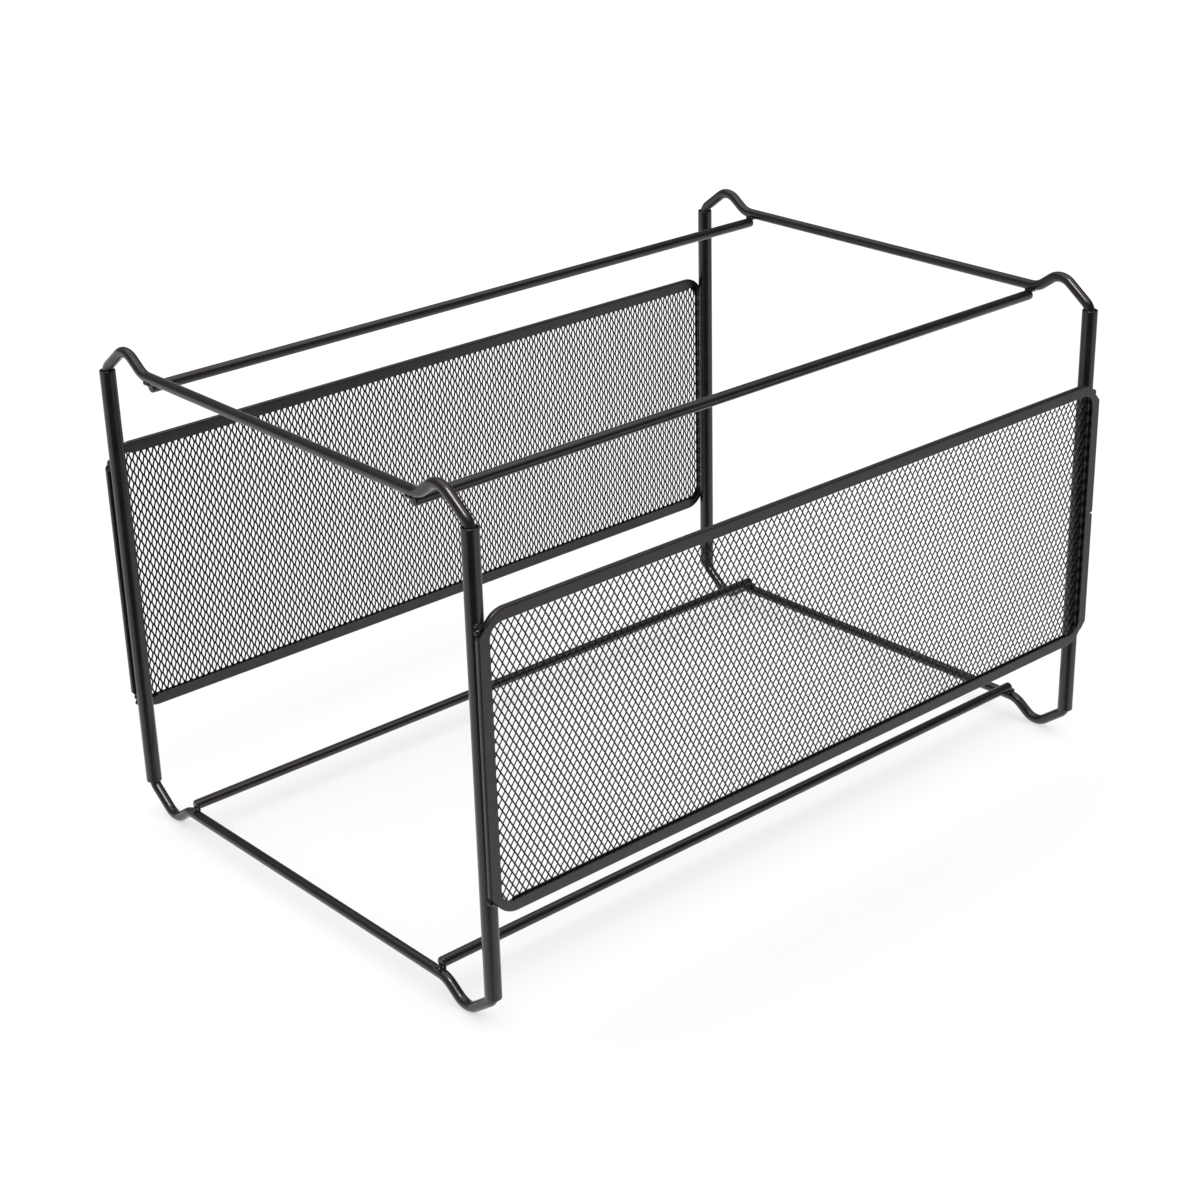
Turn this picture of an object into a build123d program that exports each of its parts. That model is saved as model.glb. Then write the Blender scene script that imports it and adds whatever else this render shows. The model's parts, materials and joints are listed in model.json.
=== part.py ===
from build123d import *
import os

# Knock-down magazine file holder in powder-coated steel.
# A bent-wire top frame and an identical bottom frame plug into two welded sides.
# Each side is two tube posts that carry a sheet-metal rim with expanded metal in it.
# Frame: +X along the long sides, +Y from front to back, +Z up.
# Origin: on the ground under the centre of the holder, so the four feet touch Z = 0.
# All sizes are in millimetres.

# ---- posts ----------------------------------------------------------------
POST_SPACING_X = 456.0  # axis to axis along the long sides
POST_SPACING_Y = 317.0  # axis to axis across the open ends
POST_LENGTH = 256.0
POST_OUTER_DIA = 9.0
POST_WALL = 0.8
POST_LIP_ROUND = 0.3  # rolled edge at both open ends

# ---- bent end wires and straight rails ------------------------------------
WIRE_DIA = 6.0
PLUG_DEPTH = 25.0  # straight length of wire inside a post
PLUG_CHAMFER = 0.8
LEG_RISE = 1.3  # sharp corner between plug and leg, past the post's end
HUMP_INSET = 21.7  # sharp corner of the hump, inboard of the post's axis
HUMP_RISE = 17.6  # the same corner, past the post's end
DIP_INSET = 38.2  # sharp corner where the hump runs into the straight span
SPAN_RISE = 5.7  # centreline of the straight span, past the post's end
LEG_BEND_R = 8.0
HUMP_BEND_R = 11.6
DIP_BEND_R = 15.0
RAIL_SPACING = 230.0  # rail to rail, centre to centre
RAIL_LENGTH = 455.0
RAIL_END_ROUND = 0.7
WELD_SINK = 0.3  # how far a rail is pressed into an end wire by welding
FRAME_WELD_R = 2.9

# ---- rim and mesh sheet of a side -----------------------------------------
SHEET = 1.0  # sheet-metal thickness of the rim
RIM_HEIGHT = 165.2
RIM_DEPTH = 3.4  # from the outer face to the back of the folded lips
RIM_FACE = 6.8  # width of the outer face
RIM_LIP = 7.0  # width of the lip folded over behind the mesh
RIM_CORNER_R = 14.0
RIM_WINDOW_R = 8.0
HEM_BEND_R = 1.2  # outside radius of the folded edges
HEM_STEP = 3.0  # the short edges stand this far past the rounded corners' outline
HEM_CLEAR_START = 7.6  # the wider stretch starts this far from the rim's top and bottom
HEM_CLEAR_END = 12.9  # and reaches its full width here
SEAM_NOTCH_WIDTH = 4.0  # butt joint of the rim strip, halfway up one short side
SEAM_NOTCH_DEPTH = 1.6  # from the folded edge to the notch's point
SEAM_GROOVE = 0.3
FRONT_RIM_SHIFT = 3.9  # the rims sit off the posts' mid-height: the front one upwards
BACK_RIM_SHIFT = 1.2  # and the back one downwards, as that side is turned over
RIM_POST_GAP = 0.1  # bridged by the corner welds
MESH_SHEET = 0.8
MESH_EDGE_GAP = 0.5  # from the mesh sheet's edge to the inside of the rim's fold
SIDE_WELD_R = 3.1
SIDE_WELD_DROP = 9.5  # weld centre below the rim's top edge, above its bottom edge
SIDE_WELD_INSET = 1.2  # weld centre outboard of the post's axis

# ---- derived places --------------------------------------------------------
HALF_X = POST_SPACING_X / 2
HALF_Y = POST_SPACING_Y / 2
POST_R = POST_OUTER_DIA / 2
WIRE_R = WIRE_DIA / 2
RAIL_DROP = WIRE_DIA - WELD_SINK
RIM_HALF_X = HALF_X + POST_R
RIM_HALF_Z = RIM_HEIGHT / 2
CORNER_HALF_X = RIM_HALF_X - HEM_STEP
NOTCH_RUN = ((2 * RIM_CORNER_R - HEM_CLEAR_START) * HEM_CLEAR_START) ** 0.5
NOTCH_X = CORNER_HALF_X - RIM_CORNER_R + NOTCH_RUN  # where the wider stretch leaves the corner
RIM_BACK_Y = -(HALF_Y + POST_R + RIM_POST_GAP)
RIM_FRONT_Y = RIM_BACK_Y - RIM_DEPTH
MESH_Y = (RIM_FRONT_Y + RIM_BACK_Y) / 2


def end_wire_line():
    """Centreline of an end wire in the YZ plane, with Z = 0 at the posts' ends."""
    half = [
        (HALF_Y, -PLUG_DEPTH),
        (HALF_Y, LEG_RISE),
        (HALF_Y - HUMP_INSET, HUMP_RISE),
        (HALF_Y - DIP_INSET, SPAN_RISE),
    ]
    corners = half + [(-y, z) for y, z in reversed(half)]
    bends = [LEG_BEND_R, HUMP_BEND_R, DIP_BEND_R]
    return FilletPolyline(*[(0, y, z) for y, z in corners], radius=bends + bends[::-1])


def end_wire():
    """Round wire: plug, hump, straight span, hump, plug."""
    line = end_wire_line()
    wire = sweep(Plane(origin=line @ 0, z_dir=line % 0) * Circle(WIRE_R), path=line)
    plug_ends = wire.faces().filter_by(GeomType.PLANE).edges()
    return chamfer(plug_ends, PLUG_CHAMFER)


def hump_top():
    """Height of the hump's outside above the posts' ends."""
    return end_wire_line().bounding_box().max.Z + WIRE_R


POST_BOTTOM_Z = hump_top()
MID_Z = POST_BOTTOM_Z + POST_LENGTH / 2
POST_TOP_Z = POST_BOTTOM_Z + POST_LENGTH
SPAN_Z = POST_TOP_Z + SPAN_RISE
RAIL_Z = SPAN_Z - RAIL_DROP


def flipped(shape):
    """Half a turn about the holder's own X axis at mid-height: top to bottom, front to back."""
    return Pos(0, 0, MID_Z) * Rot(180, 0, 0) * Pos(0, 0, -MID_Z) * shape


def rail(y):
    """Straight rod welded under the end wires."""
    rod = Rot(0, 90, 0) * Cylinder(WIRE_R, RAIL_LENGTH)
    rod = fillet(rod.faces().filter_by(GeomType.PLANE).edges(), RAIL_END_ROUND)
    return Pos(0, y, RAIL_Z) * rod


def frame_parts():
    """The top frame: end wires, rails cut to their welded seats, and the weld nuggets."""
    wires = {
        "left_end_wire": Pos(-HALF_X, 0, POST_TOP_Z) * end_wire(),
        "right_end_wire": Pos(HALF_X, 0, POST_TOP_Z) * end_wire(),
    }
    rails = {
        "front_rail": rail(-RAIL_SPACING / 2),
        "back_rail": rail(RAIL_SPACING / 2),
    }
    for name in rails:
        for wire in wires.values():
            rails[name] = rails[name] - wire
    nuggets = []
    weld_z = SPAN_Z - RAIL_DROP / 2
    for wire, x in zip(wires.values(), (-HALF_X, HALF_X)):
        for rod, y in zip(rails.values(), (-RAIL_SPACING / 2, RAIL_SPACING / 2)):
            nuggets.append(Pos(x, y, weld_z) * Sphere(FRAME_WELD_R) - wire - rod)
    return {**wires, **rails, "frame_welds": Compound(children=nuggets)}


def post(x):
    """Open-ended tube with softly rolled lips."""
    tube = Cylinder(POST_R, POST_LENGTH) - Cylinder(POST_R - POST_WALL, POST_LENGTH)
    lips = tube.faces().filter_by(GeomType.PLANE).edges()
    return Pos(x, -HALF_Y, MID_Z) * fillet(lips, POST_LIP_ROUND)


def layer(outline, start, end):
    """Solid between two depths behind the rim's outer face, for an outline in the rim's plane."""
    return Pos(0, start, 0) * extrude(Plane.XZ * outline, -(end - start))


def corner_outline(inset):
    """The rim's outline with its rounded corners, moved inwards."""
    return RectangleRounded(2 * (CORNER_HALF_X - inset), RIM_HEIGHT - 2 * inset, RIM_CORNER_R - inset)


def wide_outline(inset):
    """The stretch of the short sides that stands past the corners, moved inwards."""
    full_z = RIM_HALF_Z - HEM_CLEAR_END
    start_z = RIM_HALF_Z - HEM_CLEAR_START - inset
    right = [
        (NOTCH_X - inset, start_z),
        (RIM_HALF_X - inset, full_z),
        (RIM_HALF_X - inset, -full_z),
        (NOTCH_X - inset, -start_z),
    ]
    left = [(-x, z) for x, z in reversed(right)]
    return make_face(Polyline(*right, *left, close=True))


def seam():
    """Butt joint of the rim's strip: a notch in the folded edge and a line across the face."""
    point_x = RIM_HALF_X - SEAM_NOTCH_DEPTH
    mouth_x = RIM_HALF_X + SEAM_NOTCH_DEPTH
    notch = Polyline(
        (point_x, 0),
        (mouth_x, SEAM_NOTCH_WIDTH),
        (mouth_x, -SEAM_NOTCH_WIDTH),
        close=True,
    )
    tool = extrude(Plane.XZ * make_face(notch), -RIM_DEPTH)
    groove = Pos(RIM_HALF_X - RIM_FACE / 2, 0, 0) * Box(RIM_FACE, SEAM_GROOVE, SEAM_GROOVE)
    return tool + groove


def rim():
    """Sheet-metal channel bent round the mesh: face, folded edge and lip, with the mesh's slot inside."""
    core = layer(corner_outline(0), 0, RIM_DEPTH)
    core = fillet(core.edges().filter_by(Axis.Y, reverse=True), HEM_BEND_R)
    wide = layer(wide_outline(0), 0, RIM_DEPTH)
    wide_folds = wide.edges().filter_by(Axis.Z).filter_by(lambda e: abs(e.center().X) > CORNER_HALF_X)
    wide = fillet(wide_folds, HEM_BEND_R)
    window = RectangleRounded(2 * (RIM_HALF_X - RIM_FACE), RIM_HEIGHT - 2 * RIM_FACE, RIM_WINDOW_R)
    lip_window = RectangleRounded(2 * (RIM_HALF_X - RIM_LIP), RIM_HEIGHT - 2 * RIM_LIP, RIM_WINDOW_R)
    slot = layer(corner_outline(SHEET), SHEET, RIM_DEPTH - SHEET)
    slot = slot + layer(wide_outline(SHEET), SHEET, RIM_DEPTH - SHEET)
    body = core + wide - layer(window, 0, RIM_DEPTH / 2) - layer(lip_window, RIM_DEPTH / 2, RIM_DEPTH)
    body = body - slot - seam()
    return Pos(0, RIM_FRONT_Y, MID_Z) * body


def mesh_sheet():
    """Expanded-metal sheet held between the rim's face and its lip."""
    sheet = layer(corner_outline(SHEET + MESH_EDGE_GAP), 0, MESH_SHEET)
    return Pos(0, MESH_Y - MESH_SHEET / 2, MID_Z) * sheet


def side_parts(rim_shift):
    """A side, placed at the front: two posts, rim, mesh sheet and the beads that join them."""
    posts = {"left_post": post(-HALF_X), "right_post": post(HALF_X)}
    edge = Pos(0, 0, rim_shift) * rim()
    sheet = Pos(0, 0, rim_shift) * mesh_sheet()
    beads = []
    weld_y = -(HALF_Y + POST_R)
    for tube, outwards in zip(posts.values(), (-1, 1)):
        for up in (-1, 1):
            x = outwards * (HALF_X + SIDE_WELD_INSET)
            z = MID_Z + rim_shift + up * (RIM_HALF_Z - SIDE_WELD_DROP)
            bead = Pos(x, weld_y, z) * Sphere(SIDE_WELD_R) - tube - edge - sheet
            beads.append(bead.solids().sort_by(SortBy.VOLUME)[-1])
    return {**posts, "rim": edge, "mesh": sheet, "side_welds": Compound(children=beads)}


def save(name, shape):
    """Write one node as STEP."""
    shape.label = name
    export_step(shape, os.path.join("parts", name + ".step"))


os.makedirs("parts", exist_ok=True)
for part_name, part in frame_parts().items():
    save("top_" + part_name, part)
    save("bottom_" + part_name, flipped(part))
for part_name, part in side_parts(FRONT_RIM_SHIFT).items():
    save("front_" + part_name, part)
for part_name, part in side_parts(BACK_RIM_SHIFT).items():
    save("back_" + part_name, flipped(part))
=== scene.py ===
import json
import math

import bmesh
import bpy
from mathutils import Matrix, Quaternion, Vector, noise


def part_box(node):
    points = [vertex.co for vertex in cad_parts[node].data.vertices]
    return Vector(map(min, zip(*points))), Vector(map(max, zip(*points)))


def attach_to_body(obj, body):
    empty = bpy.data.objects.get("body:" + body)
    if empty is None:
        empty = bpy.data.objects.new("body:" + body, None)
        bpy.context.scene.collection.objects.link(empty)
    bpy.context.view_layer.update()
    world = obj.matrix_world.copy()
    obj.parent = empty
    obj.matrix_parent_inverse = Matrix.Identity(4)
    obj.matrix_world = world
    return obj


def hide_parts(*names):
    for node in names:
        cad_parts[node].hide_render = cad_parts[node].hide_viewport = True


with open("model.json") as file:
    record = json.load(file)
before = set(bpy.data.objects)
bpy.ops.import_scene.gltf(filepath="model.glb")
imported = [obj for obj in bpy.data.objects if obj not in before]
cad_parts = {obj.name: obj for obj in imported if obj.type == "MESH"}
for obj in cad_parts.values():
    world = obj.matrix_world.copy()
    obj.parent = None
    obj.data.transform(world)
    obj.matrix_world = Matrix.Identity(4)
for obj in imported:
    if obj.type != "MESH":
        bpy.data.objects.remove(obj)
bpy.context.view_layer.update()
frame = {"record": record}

# Looks of the magazine file holder: powder-coated wire, tube, folded sheet and expanded metal.
# Everything is in metres in the frame's own axes: +X along the long sides, +Y to the back, +Z up.
# Each piece is shaped as part of the front side or the top frame. For the back side and the bottom
# frame it is then turned half a turn about the holder's X axis at mid-height.

BODY_OF = {node: body for body, nodes in frame["record"]["behaviour"]["bodies"].items() for node in nodes}
MM = 0.001
X_AXIS, Y_AXIS, Z_AXIS = Vector((1, 0, 0)), Vector((0, 1, 0)), Vector((0, 0, 1))

# ---- places from the frame ---------------------------------------------------
POST_LOW, POST_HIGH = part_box("front_right_post")
WIRE_LOW, WIRE_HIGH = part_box("top_right_end_wire")
RAIL_LOW, RAIL_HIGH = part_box("top_back_rail")
RIM_LOW, RIM_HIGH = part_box("front_rim")
SHEET_LOW, SHEET_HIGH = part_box("front_mesh")

POST_R = (POST_HIGH.x - POST_LOW.x) / 2
POST_X = POST_HIGH.x - POST_R
POST_Y = -(POST_LOW.y + POST_HIGH.y) / 2
MID_Z = (POST_LOW.z + POST_HIGH.z) / 2
WIRE_R = (WIRE_HIGH.x - WIRE_LOW.x) / 2
PLUG_DEPTH = POST_HIGH.z - WIRE_LOW.z
RAIL_Y = (RAIL_LOW.y + RAIL_HIGH.y) / 2
RAIL_Z = (RAIL_LOW.z + RAIL_HIGH.z) / 2
FRONT_RIM_Z = (RIM_LOW.z + RIM_HIGH.z) / 2
BACK_RIM_Z = 2 * MID_Z - sum(corner.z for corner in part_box("back_rim")) / 2
RIM_HALF_X = (RIM_HIGH.x - RIM_LOW.x) / 2
RIM_HALF_Z = (RIM_HIGH.z - RIM_LOW.z) / 2
RIM_DEPTH = RIM_HIGH.y - RIM_LOW.y

# ---- shapes that the frame's boxes don't tell --------------------------------
QUARTER = math.pi / 2
SHARP_ANGLE = math.radians(40)  # edges that turn more than this are shaded sharp

# Sharp corners of a bent end wire: inboard of the post's axis, past the post's end, bend radius.
WIRE_CORNERS = [
    (0, 1.3 * MM, 8 * MM),
    (21.7 * MM, 17.6 * MM, 11.6 * MM),
    (38.2 * MM, 5.7 * MM, 15 * MM),
]
ROD_SIDES = 40
ARC_STEP = math.radians(5)
PLUG_ROUND = 0.8 * MM
RAIL_ROUND = 0.9 * MM
ROUND_STEPS = 3

POST_WALL = 0.8 * MM
POST_SIDES = 72
LIP_OUTER_R = 0.5 * MM
LIP_INNER_R = 0.25 * MM
LIP_STEPS = 4

SHEET = 1.0 * MM
FACE_WIDTH = 6.8 * MM
LIP_WIDTH = 7 * MM
LIP_TAPER = 4.5 * MM  # how much narrower the lip gets towards the notches at the welds
CORNER_R = 14 * MM
CORNER_STEPS = 12
CORNER_TURN = math.radians(55)  # how far the folded edge follows each corner
WINDOW_R = 8 * MM
WINDOW_TAIL = 1 * MM
HEM_R = 1.2 * MM  # outside radius of the fold
BEND_STEPS = 6
HEM_STEP = 3 * MM  # the short sides stand this far past the corners' outline
HEM_START = 7.6 * MM  # the wider stretch starts this far from the rim's top and bottom
HEM_FULL = 12.9 * MM  # and reaches its full width here
SEAM_GAP = 0.12 * MM  # butt joint of the strip, halfway up one short side
SEAM_NOTCH_DEPTH = 1.6 * MM
SEAM_NOTCH_HALF = 2 * MM
JOIN_WITHIN = 0.002 * MM
EDGE_BEVEL = 0.13 * MM
EDGE_SEGMENTS = 2
EDGE_ANGLE = math.radians(35)

MESH_COLUMNS = 218
MESH_PITCH_Z = 7.1 * MM
STRAND_WIDTH = 0.9 * MM
STRAND_THICK = 0.6 * MM
STRAND_TILT = math.radians(45)
BOND_LENGTH = 0.5 * MM
SHEET_CORNER_R = 13 * MM

# Weld beads are lumps that run together: along the post, across it, and each lump's radius.
SIDE_WELD_LUMPS = [
    (-2.6 * MM, 0.9 * MM, 1.7 * MM),
    (-0.5 * MM, -0.9 * MM, 2.0 * MM),
    (1.7 * MM, 0.8 * MM, 1.9 * MM),
    (3.1 * MM, -1.2 * MM, 1.5 * MM),
]
SIDE_WELD_INSET = 1.2 * MM  # outboard of the post's axis
SIDE_WELD_DROP = 9.5 * MM  # in from the rim's top and bottom
SIDE_WELD_LEAN = 0.2  # depth of a lump for each millimetre across
FRAME_WELD_CORE = 2.0 * MM
FRAME_WELD_LUMP = 1.5 * MM
FRAME_WELD_SPREAD = 1.9 * MM
WELD_DETAIL = 4
WELD_REACH = 12 * MM
WELD_HALVINGS = 22
WELD_BLEND = 5  # higher keeps neighbouring lumps more distinct
WELD_ROUGHNESS = 0.12 * MM
WELD_GRAIN = 900


# ---- mesh helpers --------------------------------------------------------------
def turned(point):
    """The same point on the part turned over: half a turn about X at mid-height."""
    return Vector((point.x, -point.y, 2 * MID_Z - point.z))


def skin(rings, closed=False):
    """Quads between neighbouring rings of points. An open run of rings gets end caps."""
    count = len(rings[0])
    points = [p for ring in rings for p in ring]
    faces = []
    for i in range(len(rings) if closed else len(rings) - 1):
        here = i * count
        there = (i + 1) % len(rings) * count
        for j in range(count):
            k = (j + 1) % count
            faces.append((here + j, here + k, there + k, there + j))
    if not closed:
        faces.append(tuple(range(count)))
        faces.append(tuple(range(len(points) - count, len(points))))
    return points, faces


def joined(shapes):
    """Several (points, faces) shapes as one."""
    points, faces = [], []
    for more_points, more_faces in shapes:
        start = len(points)
        points += more_points
        faces += [tuple(start + i for i in face) for face in more_faces]
    return points, faces


def build(node, shape, flip, material, sheet_metal):
    """The detailed piece that stands for a CAD node and rides on that node's body."""
    points, faces = shape
    mesh = bpy.data.meshes.new(node + "_detailed")
    mesh.from_pydata([turned(p) for p in points] if flip else points, [], faces)
    cleaned = bmesh.new()
    cleaned.from_mesh(mesh)
    if sheet_metal:
        bmesh.ops.remove_doubles(cleaned, verts=cleaned.verts, dist=JOIN_WITHIN)
    bmesh.ops.recalc_face_normals(cleaned, faces=cleaned.faces)
    cleaned.to_mesh(mesh)
    cleaned.free()
    mesh.shade_smooth()
    mesh.set_sharp_from_angle(angle=SHARP_ANGLE)
    mesh.materials.append(material)
    piece = bpy.data.objects.new(node + "_detailed", mesh)
    bpy.context.scene.collection.objects.link(piece)
    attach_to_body(piece, BODY_OF[node])
    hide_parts(node)
    if sheet_metal:
        rounded = piece.modifiers.new("edges", "BEVEL")
        rounded.width = EDGE_BEVEL
        rounded.segments = EDGE_SEGMENTS
        rounded.limit_method = "ANGLE"
        rounded.angle_limit = EDGE_ANGLE
        rounded.harden_normals = True


# ---- rods: bent end wires and straight rails -----------------------------------
def bent_path(corners):
    """Points and directions along straight runs joined by tangent arcs, from (corner, radius) pairs."""
    path = []
    ends = [corner for corner, _ in corners]
    for i, (corner, radius) in enumerate(corners):
        if i in (0, len(corners) - 1):
            near = ends[1] if i == 0 else ends[-2]
            direction = (near - corner).normalized() if i == 0 else (corner - near).normalized()
            path.append((corner, direction))
            continue
        before = (corner - ends[i - 1]).normalized()
        after = (ends[i + 1] - corner).normalized()
        turn = before.angle(after)
        start = corner - before * radius * math.tan(turn / 2)
        inward = (after - before * before.dot(after)).normalized()
        centre = start + inward * radius
        steps = max(2, math.ceil(turn / ARC_STEP))
        for step in range(steps + 1):
            angle = turn * step / steps
            point = centre - inward * radius * math.cos(angle) + before * radius * math.sin(angle)
            path.append((point, before * math.cos(angle) + inward * math.sin(angle)))
    return path


def rounded_end(point, inward, radius, end_round):
    """Centres and radii of the rings that round off a rod's end, from the end inwards."""
    rings = []
    for step in range(ROUND_STEPS + 1):
        angle = QUARTER * step / ROUND_STEPS
        centre = point + inward * (end_round * (1 - math.cos(angle)))
        rings.append((centre, radius - end_round * (1 - math.sin(angle))))
    return rings


def rod(path, side, radius, end_round):
    """Round rod along a flat path. side is at right angles to the path's plane."""
    (first, start_way), *between, (last, end_way) = path
    start = rounded_end(first, start_way, radius, end_round)
    end = rounded_end(last, -end_way, radius, end_round)
    stations = [(centre, start_way, ring_radius) for centre, ring_radius in start]
    stations += [(point, direction, radius) for point, direction in between]
    stations += [(centre, end_way, ring_radius) for centre, ring_radius in reversed(end)]
    rings = []
    for point, direction, ring_radius in stations:
        across = side.cross(direction)
        ring = []
        for j in range(ROD_SIDES):
            angle = 2 * math.pi * j / ROD_SIDES
            ring.append(point + (across * math.cos(angle) + side * math.sin(angle)) * ring_radius)
        rings.append(ring)
    return skin(rings)


def end_wire(x):
    """One bent end wire of the top frame: plug, hump, straight span, hump, plug."""
    top = POST_HIGH.z
    half = [(Vector((x, POST_Y, top - PLUG_DEPTH)), 0)]
    half += [(Vector((x, POST_Y - inset, top + rise)), radius) for inset, rise, radius in WIRE_CORNERS]
    mirrored = [(Vector((x, -corner.y, corner.z)), radius) for corner, radius in reversed(half)]
    return rod(bent_path(half + mirrored), X_AXIS, WIRE_R, PLUG_ROUND)


def rail(y):
    """One straight rail of the top frame."""
    ends = [(Vector((RAIL_LOW.x, y, RAIL_Z)), X_AXIS), (Vector((RAIL_HIGH.x, y, RAIL_Z)), X_AXIS)]
    return rod(ends, Y_AXIS, WIRE_R, RAIL_ROUND)


# ---- posts ---------------------------------------------------------------------
def post(x):
    """Open-ended tube whose lips are rolled over a little."""
    inner = POST_R - POST_WALL
    half = POST_HIGH.z - MID_Z
    profile = []
    lips = ((LIP_OUTER_R, POST_R - LIP_OUTER_R, 0), (LIP_INNER_R, inner + LIP_INNER_R, QUARTER))
    for lip_r, centre_r, turn in lips:
        for step in range(LIP_STEPS + 1):
            angle = turn + QUARTER * step / LIP_STEPS
            height = half - lip_r + lip_r * math.sin(angle)
            profile.append((centre_r + lip_r * math.cos(angle), height))
    profile += [(radius, -height) for radius, height in reversed(profile)]
    rings = []
    for j in range(POST_SIDES):
        angle = 2 * math.pi * j / POST_SIDES
        outward = Vector((math.cos(angle), math.sin(angle), 0))
        centre = Vector((x, -POST_Y, MID_Z))
        rings.append([centre + outward * radius + Z_AXIS * height for radius, height in profile])
    return skin(rings, closed=True)


# ---- rim -------------------------------------------------------------------------
def hem_profile(attach, lip):
    """Outer and inner lines of a folded edge, point for point, as (inward from the fold, depth)."""
    pairs = [((attach, 0), (attach, SHEET))]
    if attach > HEM_R:
        pairs.append(((HEM_R, 0), (HEM_R, SHEET)))
    inner_r = HEM_R - SHEET
    for step in range(1, BEND_STEPS + 1):
        angle = QUARTER * step / BEND_STEPS
        s, c = math.sin(angle), math.cos(angle)
        pairs.append(((HEM_R - HEM_R * s, HEM_R - HEM_R * c), (HEM_R - inner_r * s, HEM_R - inner_r * c)))
    back = RIM_DEPTH - HEM_R
    for step in range(BEND_STEPS + 1):
        angle = QUARTER * step / BEND_STEPS
        s, c = math.sin(angle), math.cos(angle)
        pairs.append(((HEM_R - HEM_R * c, back + HEM_R * s), (HEM_R - inner_r * c, back + inner_r * s)))
    pairs.append(((lip, RIM_DEPTH), (lip, RIM_DEPTH - SHEET)))
    return pairs


def hem(edge, attach, start, end, along, outward):
    """Folded edge between two ends, which start and end give for each distance inward from the fold."""
    def at(place, inward, depth):
        return outward * (edge - inward) + along * place + Y_AXIS * depth
    strips = []
    pairs = hem_profile(attach, LIP_WIDTH)
    for (a_out, a_in), (b_out, b_in) in zip(pairs, pairs[1:]):
        corners = []
        for inward, depth in (a_out, b_out, b_in, a_in):
            corners.append((at(start(inward), inward, depth), at(end(inward), inward, depth)))
        (a0, a1), (b0, b1), (c0, c1), (d0, d1) = corners
        strips += [[a0, a1, b1, b0], [d0, d1, c1, c0], [a0, b0, c0, d0], [a1, b1, c1, d1]]
    strips.append([b0, b1, c1, c0])
    return strips


def corner_stations():
    """Places, outward directions and lip widths round a corner, from the top edge to the notch."""
    corner_x = RIM_HALF_X - HEM_STEP
    centre = Vector((corner_x - CORNER_R, 0, RIM_HALF_Z - CORNER_R))
    stations = []
    for step in range(CORNER_STEPS + 1):
        share = step / CORNER_STEPS
        angle = QUARTER - CORNER_TURN * share
        outward = Vector((math.cos(angle), 0, math.sin(angle)))
        stations.append((centre + outward * CORNER_R, outward, LIP_WIDTH - LIP_TAPER * share))
    run = math.sqrt((2 * CORNER_R - HEM_START) * HEM_START)
    notch = Vector((centre.x + run, 0, RIM_HALF_Z - HEM_START))
    stations.append((notch, X_AXIS, LIP_WIDTH - LIP_TAPER))
    return stations


def long_hem(stations):
    """Folded top edge, carried on round both corners as far as the notches for the welds."""
    rings = []
    for sx, row in ((-1, stations[::-1]), (1, stations)):
        for place, outward, lip in row:
            pairs = hem_profile(HEM_R, lip)
            ring = [place - outward * i + Y_AXIS * d for (i, d), _ in pairs]
            ring += [place - outward * i + Y_AXIS * d for _, (i, d) in reversed(pairs)]
            rings.append([Vector((p.x * sx, p.y, p.z)) for p in ring])
    last = len(rings[0]) - 1
    strips = []
    for here, there in zip(rings, rings[1:]):
        strips += [[here[j], here[j + 1], there[j + 1], there[j]] for j in range(last)]
    half = (last + 1) // 2
    for ring in (rings[0], rings[-1]):
        strips += [[ring[j], ring[j + 1], ring[last - j - 1], ring[last - j]] for j in range(half - 1)]
    return strips


def window_corner():
    """The window's outline round one corner, point for point beside corner_stations."""
    x, z = RIM_HALF_X - FACE_WIDTH - WINDOW_R, RIM_HALF_Z - FACE_WIDTH - WINDOW_R
    points = []
    for step in range(CORNER_STEPS + 1):
        angle = QUARTER * (1 - step / CORNER_STEPS)
        points.append(Vector((x + WINDOW_R * math.cos(angle), 0, z + WINDOW_R * math.sin(angle))))
    points.append(points[-1] - Z_AXIS * WINDOW_TAIL)
    return points


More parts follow.
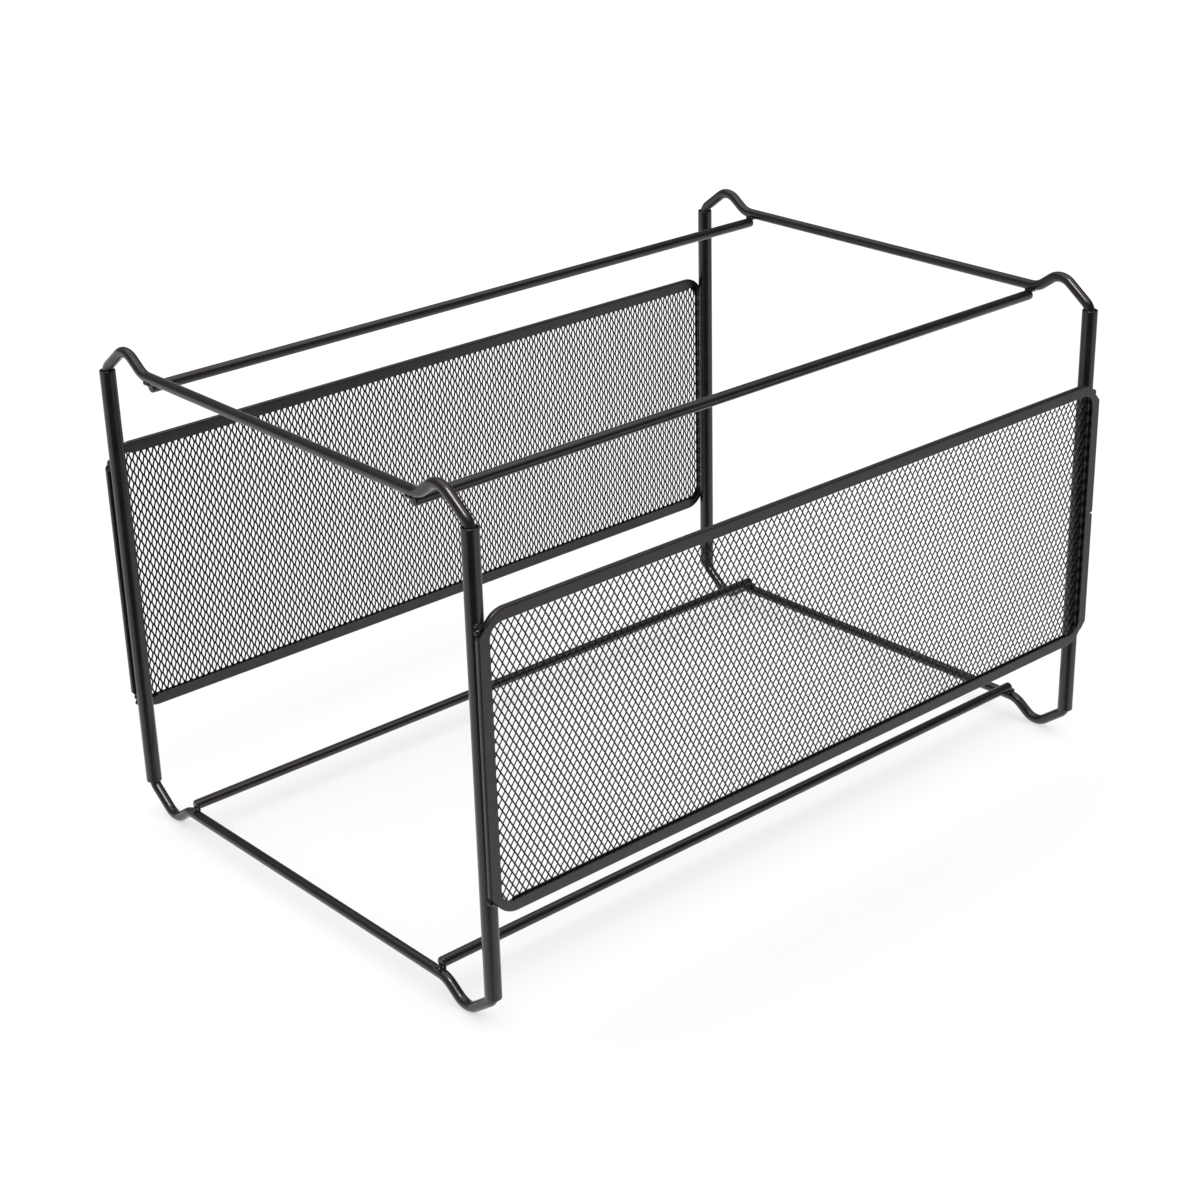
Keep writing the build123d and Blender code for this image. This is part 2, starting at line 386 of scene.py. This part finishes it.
def rim(rim_z):
    """A rim at the front: one strip of sheet folded into a channel and bent round the mesh."""
    stations, window = corner_stations(), window_corner()
    fold = [place - outward * HEM_R for place, outward, _ in stations]
    notch = stations[-1][0]
    back = Y_AXIS * SHEET
    polygons = []

    def wall(a, b):
        """The sheet's thickness between two points of the face."""
        polygons.append([a, b, b + back, a + back])

    def plate(outline, edge):
        """A flat stretch of the face, whose outline meets the window after its point number edge."""
        polygons.append(outline)
        polygons.append([p + back for p in reversed(outline)])
        wall(outline[edge], outline[(edge + 1) % len(outline)])

    def at(point, sx, sz):
        return Vector((point.x * sx, point.y, point.z * sz))

    for sx in (-1, 1):
        for sz in (-1, 1):
            for i in range(len(stations) - 1):
                outline = [window[i], window[i + 1], fold[i + 1], fold[i]]
                plate([at(p, sx, sz) for p in outline], 0)
            wall(at(fold[-1], sx, sz), at(notch, sx, sz))
    for sz in (-1, 1):
        ends = [at(window[0], -1, sz), at(window[0], 1, sz), at(fold[0], 1, sz), at(fold[0], -1, sz)]
        plate(ends, 0)
        polygons.extend([at(p, 1, sz) for p in strip] for strip in long_hem(stations))

    attach = RIM_HALF_X - notch.x

    def short_end(inward):
        return notch.z - max(0, 1 - inward / attach) * (HEM_FULL - HEM_START)

    def seam_end(inward):
        return SEAM_GAP / 2 + SEAM_NOTCH_HALF * max(0, 1 - inward / SEAM_NOTCH_DEPTH)

    run = [window[-1], fold[-1], notch]
    plate([at(p, -1, 1) for p in run] + [at(p, -1, -1) for p in reversed(run)], 2 * len(run) - 1)
    polygons += hem(RIM_HALF_X, attach, lambda e: -short_end(e), short_end, Z_AXIS, -X_AXIS)
    seam = [Vector((notch.x, 0, SEAM_GAP / 2)), Vector((window[-1].x, 0, SEAM_GAP / 2))]
    for sz in (-1, 1):
        plate([at(p, 1, sz) for p in run + seam], len(run + seam) - 1)
        wall(at(seam[0], 1, sz), at(seam[1], 1, sz))
        polygons += hem(RIM_HALF_X, attach, seam_end, short_end, Z_AXIS * sz, X_AXIS)

    points, faces = joined([(polygon, [tuple(range(len(polygon)))]) for polygon in polygons])
    place = Vector((0, RIM_LOW.y, rim_z))
    return [p + place for p in points], faces


# ---- expanded metal ----------------------------------------------------------------
def strand(column, half_x, half_z):
    """One zigzag strand of the expanded sheet, clipped to the sheet's rounded outline."""
    pitch_x = 2 * half_x / MESH_COLUMNS
    low_x = -half_x + column * pitch_x
    wide = Vector((math.cos(STRAND_TILT), math.sin(STRAND_TILT), 0)) * STRAND_WIDTH / 2
    thick = Vector((-math.sin(STRAND_TILT), math.cos(STRAND_TILT), 0)) * STRAND_THICK / 2
    outside = abs(low_x + pitch_x / 2) - (half_x - SHEET_CORNER_R)
    reach = half_z
    if outside > 0:
        reach = half_z - SHEET_CORNER_R + math.sqrt(max(0, SHEET_CORNER_R ** 2 - outside ** 2))
    left = Vector((low_x, 0, 0)) + wide
    right = Vector((low_x + pitch_x, 0, 0)) - wide
    starts_left = column % 2 == 0
    line = []
    count = math.ceil(half_z / MESH_PITCH_Z * 2) + 1
    for i in range(-count, count + 1):
        at_left = (i % 2 == 0) == starts_left
        base = left if at_left else right
        for offset in (-BOND_LENGTH / 2, BOND_LENGTH / 2):
            line.append(base + Z_AXIS * (i * MESH_PITCH_Z / 2 + offset))
    clipped = []
    for i, point in enumerate(line):
        if abs(point.z) < reach:
            clipped.append(point)
            continue
        for other in line[max(0, i - 1):i] + line[i + 1:i + 2]:
            if abs(other.z) < reach:
                level = math.copysign(reach, point.z)
                clipped.append(other.lerp(point, (level - other.z) / (point.z - other.z)))
    rings = [[p + wide + thick, p - wide + thick, p - wide - thick, p + wide - thick] for p in clipped]
    return skin(rings)


def expanded_sheet(rim_z):
    """An expanded-metal sheet at the front: zigzag strands that touch at their bonds."""
    half_x = (SHEET_HIGH.x - SHEET_LOW.x) / 2
    half_z = (SHEET_HIGH.z - SHEET_LOW.z) / 2
    place = Vector((0, (SHEET_LOW.y + SHEET_HIGH.y) / 2, rim_z))
    points, faces = joined([strand(column, half_x, half_z) for column in range(MESH_COLUMNS)])
    return [p + place for p in points], faces


# ---- welds -------------------------------------------------------------------------
def weld_bead(lumps):
    """Closed bead of weld metal from (centre, radius) lumps that run together."""
    centre = sum((c for c, _ in lumps), Vector()) / len(lumps)
    ball = bmesh.new()
    bmesh.ops.create_icosphere(ball, subdivisions=WELD_DETAIL, radius=1)
    points = []
    for vertex in ball.verts:
        direction = vertex.co.normalized()
        low, high = 0.0, WELD_REACH
        for _ in range(WELD_HALVINGS):
            middle = (low + high) / 2
            spot = centre + direction * middle
            field = 0.0
            for c, r in lumps:
                field += math.exp(WELD_BLEND * (1 - (spot - c).length_squared / r ** 2))
            low, high = (middle, high) if field > 1 else (low, middle)
        rough = noise.noise((centre + direction * low) * WELD_GRAIN) * WELD_ROUGHNESS
        points.append(centre + direction * (low + rough))
    faces = [tuple(v.index for v in face.verts) for face in ball.faces]
    ball.free()
    return points, faces


def side_welds(rim_z):
    """Beads that join a rim's corner notches to the posts at the front."""
    shapes = []
    for sx in (-1, 1):
        for sz in (-1, 1):
            x = sx * (POST_X + SIDE_WELD_INSET)
            y = -(POST_Y + POST_R)
            z = rim_z + sz * (RIM_HALF_Z - SIDE_WELD_DROP)
            lumps = []
            for along, across, radius in SIDE_WELD_LUMPS:
                lumps.append((Vector((x + across, y + SIDE_WELD_LEAN * across, z + along)), radius))
            shapes.append(weld_bead(lumps))
    return joined(shapes)


def frame_welds():
    """Nuggets that join the top frame's rails to its end wires."""
    shapes = []
    contact_z = RAIL_Z + WIRE_R
    for x in (-POST_X, POST_X):
        for y in (-RAIL_Y, RAIL_Y):
            contact = Vector((x, y, contact_z))
            lumps = [(contact, FRAME_WELD_CORE)]
            for quarter in range(4):
                angle = QUARTER * (quarter + 0.5)
                away = Vector((math.cos(angle), math.sin(angle), 0))
                lumps.append((contact + away * FRAME_WELD_SPREAD, FRAME_WELD_LUMP))
            shapes.append(weld_bead(lumps))
    return joined(shapes)


# ---- materials -----------------------------------------------------------------------
# Noises of the coat: cycles per metre, detail, roughness, and which of their values are made use of.
MOTTLE = (90, 4, 0.5, 0.3, 0.7)
MATTING = (140, 5, 0.6, 0.25, 0.75)
PATCHES = (260, 3, 0.5, 0.42, 0.68)  # where a rubbed edge shows and where it doesn't
RUB_RUNS = (31, 2, 0.5, 0.35, 0.65)  # which stretches of a piece are rubbed more
COARSE_GRAIN = (1100, 2, 0.5)
FINE_GRAIN = (3600, 3, 0.5)

MATT_SPREAD = (-0.05, 0.06)
PATCH_LEAST = 0.15
RUB_LEAST = 0.6
COARSE_HEIGHT = 0.06 * MM
FINE_HEIGHT = 0.02 * MM
FINE_SHARE = 0.8
RUBBED_WIDTH = 0.45 * MM
RUBBED_SAMPLES = 4
RUBBED_FACING = (0.995, 0.86)  # cosine between the true and the softened normal, from flat to edge
RUBBED_PALER = 4.5
RUBBED_SMOOTHER = 0.1
COAT_IOR = 1.5
COAT_TINT = (1.0, 0.885, 0.88, 1)
MIX_A, MIX_B, MIX_RESULT = 6, 7, 2  # the Mix node's sockets for colours


def powder_coat(name, tones, roughness, grain, rub, shine):
    """Satin powder coat with fine grain, faint mottling, and edges rubbed a little smoother and paler."""
    dark, light = tones
    material = bpy.data.materials.new(name)
    material.use_nodes = True
    nodes, links = material.node_tree.nodes, material.node_tree.links
    shader = nodes["Principled BSDF"]
    coords = nodes.new("ShaderNodeTexCoord")

    def noise_at(scale, detail, rough):
        node = nodes.new("ShaderNodeTexNoise")
        node.inputs["Scale"].default_value = scale
        node.inputs["Detail"].default_value = detail
        node.inputs["Roughness"].default_value = rough
        links.new(coords.outputs["Object"], node.inputs["Vector"])
        return node.outputs["Fac"]

    def remap(value, low, high, to_low, to_high):
        node = nodes.new("ShaderNodeMapRange")
        node.inputs["From Min"].default_value = low
        node.inputs["From Max"].default_value = high
        node.inputs["To Min"].default_value = to_low
        node.inputs["To Max"].default_value = to_high
        links.new(value, node.inputs["Value"])
        return node.outputs["Result"]

    def spread(recipe, to_low, to_high):
        *grain_of, low, high = recipe
        return remap(noise_at(*grain_of), low, high, to_low, to_high)

    def product(a, b):
        node = nodes.new("ShaderNodeMath")
        node.operation = "MULTIPLY"
        links.new(a, node.inputs[0])
        links.new(b, node.inputs[1])
        return node.outputs["Value"]

    def mix_colour(factor, a, b):
        node = nodes.new("ShaderNodeMix")
        node.data_type = "RGBA"
        links.new(factor, node.inputs["Factor"])
        for socket, colour in ((node.inputs[MIX_A], a), (node.inputs[MIX_B], b)):
            if isinstance(colour, tuple):
                socket.default_value = (*colour, 1)
            else:
                links.new(colour, socket)
        return node.outputs[MIX_RESULT]

    bevel = nodes.new("ShaderNodeBevel")
    bevel.samples = RUBBED_SAMPLES
    bevel.inputs["Radius"].default_value = RUBBED_WIDTH
    geometry = nodes.new("ShaderNodeNewGeometry")
    facing = nodes.new("ShaderNodeVectorMath")
    facing.operation = "DOT_PRODUCT"
    links.new(bevel.outputs["Normal"], facing.inputs[0])
    links.new(geometry.outputs["Normal"], facing.inputs[1])
    edge = remap(facing.outputs["Value"], *RUBBED_FACING, 0, 1)
    rubbed = product(edge, spread(PATCHES, PATCH_LEAST, 1))
    worn = product(rubbed, spread(RUB_RUNS, rub * RUB_LEAST, rub))

    mottled = mix_colour(spread(MOTTLE, 0, 1), dark, light)
    pale = tuple(c * RUBBED_PALER for c in light)
    colour = mix_colour(worn, mottled, pale)
    links.new(colour, shader.inputs["Base Color"])

    matt = spread(MATTING, *(roughness + change for change in MATT_SPREAD))
    smoother = nodes.new("ShaderNodeMath")
    smoother.operation = "SUBTRACT"
    links.new(matt, smoother.inputs[0])
    links.new(remap(worn, 0, 1, 0, RUBBED_SMOOTHER), smoother.inputs[1])
    links.new(smoother.outputs["Value"], shader.inputs["Roughness"])

    coarse = nodes.new("ShaderNodeBump")
    coarse.inputs["Strength"].default_value = grain
    coarse.inputs["Distance"].default_value = COARSE_HEIGHT
    links.new(noise_at(*COARSE_GRAIN), coarse.inputs["Height"])
    fine = nodes.new("ShaderNodeBump")
    fine.inputs["Strength"].default_value = grain * FINE_SHARE
    fine.inputs["Distance"].default_value = FINE_HEIGHT
    links.new(noise_at(*FINE_GRAIN), fine.inputs["Height"])
    links.new(coarse.outputs["Normal"], fine.inputs["Normal"])
    links.new(fine.outputs["Normal"], shader.inputs["Normal"])
    shader.inputs["IOR"].default_value = COAT_IOR
    shader.inputs["Specular Tint"].default_value = COAT_TINT
    shader.inputs["Specular IOR Level"].default_value = shine
    return material


# ---- the pieces ------------------------------------------------------------------------
# Darker and lighter tone of the mottling.
WIRE_BLACK = ((0.005, 0.0047, 0.0049), (0.009, 0.0084, 0.0088))
RIM_BLACK = ((0.006, 0.0056, 0.0058), (0.011, 0.0103, 0.0107))
MESH_BLACK = ((0.003, 0.0028, 0.003), (0.005, 0.0047, 0.005))

# Tones, roughness, strength of the grain, how rubbed the edges are, and shine, for each slot.
COATS = {
    "bent_wire": (WIRE_BLACK, 0.22, 0.35, 0.5, 0.5),
    "rail_rod": (WIRE_BLACK, 0.24, 0.35, 0.5, 0.5),
    "post_tube": (WIRE_BLACK, 0.24, 0.35, 0.5, 0.5),
    "rim_sheet": (RIM_BLACK, 0.34, 0.6, 0.6, 0.5),
    "expanded_mesh": (MESH_BLACK, 0.5, 0.3, 0.2, 0.2),
    "weld_bead": (WIRE_BLACK, 0.18, 0.35, 0.3, 0.5),
}
LOOKS = {slot: powder_coat(slot + "_coat", *coat) for slot, coat in COATS.items()}


def side_shapes(rim_z):
    """Every piece of a side, as placed at the front, with the rim's centre at rim_z."""
    return {
        "left_post": (post(-POST_X), "post_tube"),
        "right_post": (post(POST_X), "post_tube"),
        "rim": (rim(rim_z), "rim_sheet"),
        "mesh": (expanded_sheet(rim_z), "expanded_mesh"),
        "side_welds": (side_welds(rim_z), "weld_bead"),
    }


def frame_shapes():
    """Every piece of the top frame."""
    return {
        "left_end_wire": (end_wire(-POST_X), "bent_wire"),
        "right_end_wire": (end_wire(POST_X), "bent_wire"),
        "front_rail": (rail(-RAIL_Y), "rail_rod"),
        "back_rail": (rail(RAIL_Y), "rail_rod"),
        "frame_welds": (frame_welds(), "weld_bead"),
    }


for prefix, flip, shapes in (
    ("front_", False, side_shapes(FRONT_RIM_Z)),
    ("back_", True, side_shapes(BACK_RIM_Z)),
    ("top_", False, frame_shapes()),
    ("bottom_", True, frame_shapes()),
):
    for part, (shape, slot) in shapes.items():
        build(prefix + part, shape, flip, LOOKS[slot], sheet_metal=slot == "rim_sheet")


# ---- stage, light and camera --------------------------------------------------------------
FLOOR_HALF = 60.0  # so wide that its edge stays out of sight in views from above
FLOOR_TONE = (0.3, 0.3, 0.3, 1)
FLOOR_GLOW = 0.6
FLOOR_ROUGHNESS = 0.9
WHITE = (1, 1, 1, 1)

# Brightness of the surround. Each edge is a pair of cosines between which one part fades into the next.
TABLE_LIGHT = 1.12
FAR_TABLE_LIGHT = 0.75  # towards +X
FAR_EDGE = (0.5, 0.85)
UNLIT_LIGHT = 0.05  # the dark room in front of the table
UNLIT_SIDE = Vector((-0.657, -0.753, 0))
UNLIT_EDGE = (0.62, 0.82)
FRONT_WALL_LIGHT = 0.1
BACK_WALL_LIGHT = 0.3
BACK_SIDE = Vector((-0.5, 0.866, 0))
BACK_EDGE = (-0.35, 0.5)
CEILING_LIGHT = 1.5
CEILING_EDGE = (0.6, 0.85)
HORIZON_EDGE = (-0.04, 0.04)

OVERHEAD_LIGHT = 2.4
OVERHEAD_ANGLE = math.radians(160)
SOFTBOX_AT = Vector((-0.7, -0.55, 2.0))
SOFTBOX_SIZE = 0.45
SOFTBOX_LIGHT = 22

CAMERA_AT = Vector((-0.84454, -0.95393, 0.68925))
CAMERA_AIM = Vector((-0.05998, -0.05524, 0.15))
CAMERA_ROLL = math.radians(-1.5107)
CAMERA_LENS = 71.264
CAMERA_SENSOR = 36


def floor():
    """Plain pale light table. The surround below the horizon stands for it in reflections."""
    mesh = bpy.data.meshes.new("floor")
    corners = [(-FLOOR_HALF, -FLOOR_HALF, 0), (FLOOR_HALF, -FLOOR_HALF, 0)]
    corners += [(FLOOR_HALF, FLOOR_HALF, 0), (-FLOOR_HALF, FLOOR_HALF, 0)]
    mesh.from_pydata(corners, [], [(0, 1, 2, 3)])
    material = bpy.data.materials.new("floor_white")
    material.use_nodes = True
    shader = material.node_tree.nodes["Principled BSDF"]
    shader.inputs["Base Color"].default_value = FLOOR_TONE
    shader.inputs["Emission Color"].default_value = WHITE
    shader.inputs["Emission Strength"].default_value = FLOOR_GLOW
    shader.inputs["Roughness"].default_value = FLOOR_ROUGHNESS
    shader.inputs["Specular IOR Level"].default_value = 0.0
    mesh.materials.append(material)
    plane = bpy.data.objects.new("floor", mesh)
    plane.visible_glossy = False
    bpy.context.scene.collection.objects.link(plane)


def surround(world):
    """What the coat reflects: white table with an unlit room in front of it, dim walls, bright ceiling."""
    world.use_nodes = True
    nodes, links = world.node_tree.nodes, world.node_tree.links
    direction = nodes.new("ShaderNodeTexCoord").outputs["Generated"]

    def along(axis, low, high):
        dot = nodes.new("ShaderNodeVectorMath")
        dot.operation = "DOT_PRODUCT"
        dot.inputs[1].default_value = axis
        links.new(direction, dot.inputs[0])
        ramp = nodes.new("ShaderNodeMapRange")
        ramp.interpolation_type = "SMOOTHSTEP"
        ramp.inputs["From Min"].default_value = low
        ramp.inputs["From Max"].default_value = high
        links.new(dot.outputs["Value"], ramp.inputs["Value"])
        return ramp.outputs["Result"]

    def mix(factor, a, b):
        node = nodes.new("ShaderNodeMix")
        links.new(factor, node.inputs["Factor"])
        for socket, value in ((node.inputs["A"], a), (node.inputs["B"], b)):
            if isinstance(value, float):
                socket.default_value = value
            else:
                links.new(value, socket)
        return node.outputs["Result"]

    lit_table = mix(along(X_AXIS, *FAR_EDGE), TABLE_LIGHT, FAR_TABLE_LIGHT)
    table = mix(along(UNLIT_SIDE, *UNLIT_EDGE), lit_table, UNLIT_LIGHT)
    walls = mix(along(BACK_SIDE, *BACK_EDGE), FRONT_WALL_LIGHT, BACK_WALL_LIGHT)
    above = mix(along(Z_AXIS, *CEILING_EDGE), walls, CEILING_LIGHT)
    strength = mix(along(Z_AXIS, *HORIZON_EDGE), table, above)
    links.new(strength, nodes["Background"].inputs["Strength"])
    nodes["Background"].inputs["Color"].default_value = WHITE


def overhead():
    """Very broad light from above that evens out the floor."""
    data = bpy.data.lights.new("overhead", "SUN")
    data.energy = OVERHEAD_LIGHT
    data.angle = OVERHEAD_ANGLE
    light = bpy.data.objects.new("overhead", data)
    light.visible_glossy = False
    bpy.context.scene.collection.objects.link(light)


def softbox():
    """Square softbox that only makes highlights, so that it casts no shadow on the light table."""
    data = bpy.data.lights.new("softbox", "AREA")
    data.shape = "SQUARE"
    data.size = SOFTBOX_SIZE
    data.energy = SOFTBOX_LIGHT
    light = bpy.data.objects.new("softbox", data)
    light.location = SOFTBOX_AT
    light.rotation_mode = "QUATERNION"
    light.rotation_quaternion = (Z_AXIS * MID_Z - SOFTBOX_AT).to_track_quat("-Z", "Y")
    light.visible_camera = False
    light.visible_diffuse = False
    bpy.context.scene.collection.objects.link(light)


def studio():
    """Plain floor, surround and lights, shown without any tone curve."""
    scene = bpy.context.scene
    scene.world = bpy.data.worlds.new("studio")
    scene.view_settings.view_transform = "Standard"
    floor()
    surround(scene.world)
    overhead()
    softbox()


def camera():
    """Camera at the front left, looking down on the holder and rolled slightly."""
    data = bpy.data.cameras.new("camera")
    data.sensor_width = CAMERA_SENSOR
    data.lens = CAMERA_LENS
    eye = bpy.data.objects.new("camera", data)
    look = (CAMERA_AIM - CAMERA_AT).normalized()
    eye.location = CAMERA_AT
    eye.rotation_mode = "QUATERNION"
    eye.rotation_quaternion = Quaternion(look, -CAMERA_ROLL) @ look.to_track_quat("-Z", "Y")
    bpy.context.scene.collection.objects.link(eye)
    bpy.context.scene.camera = eye


studio()
camera()
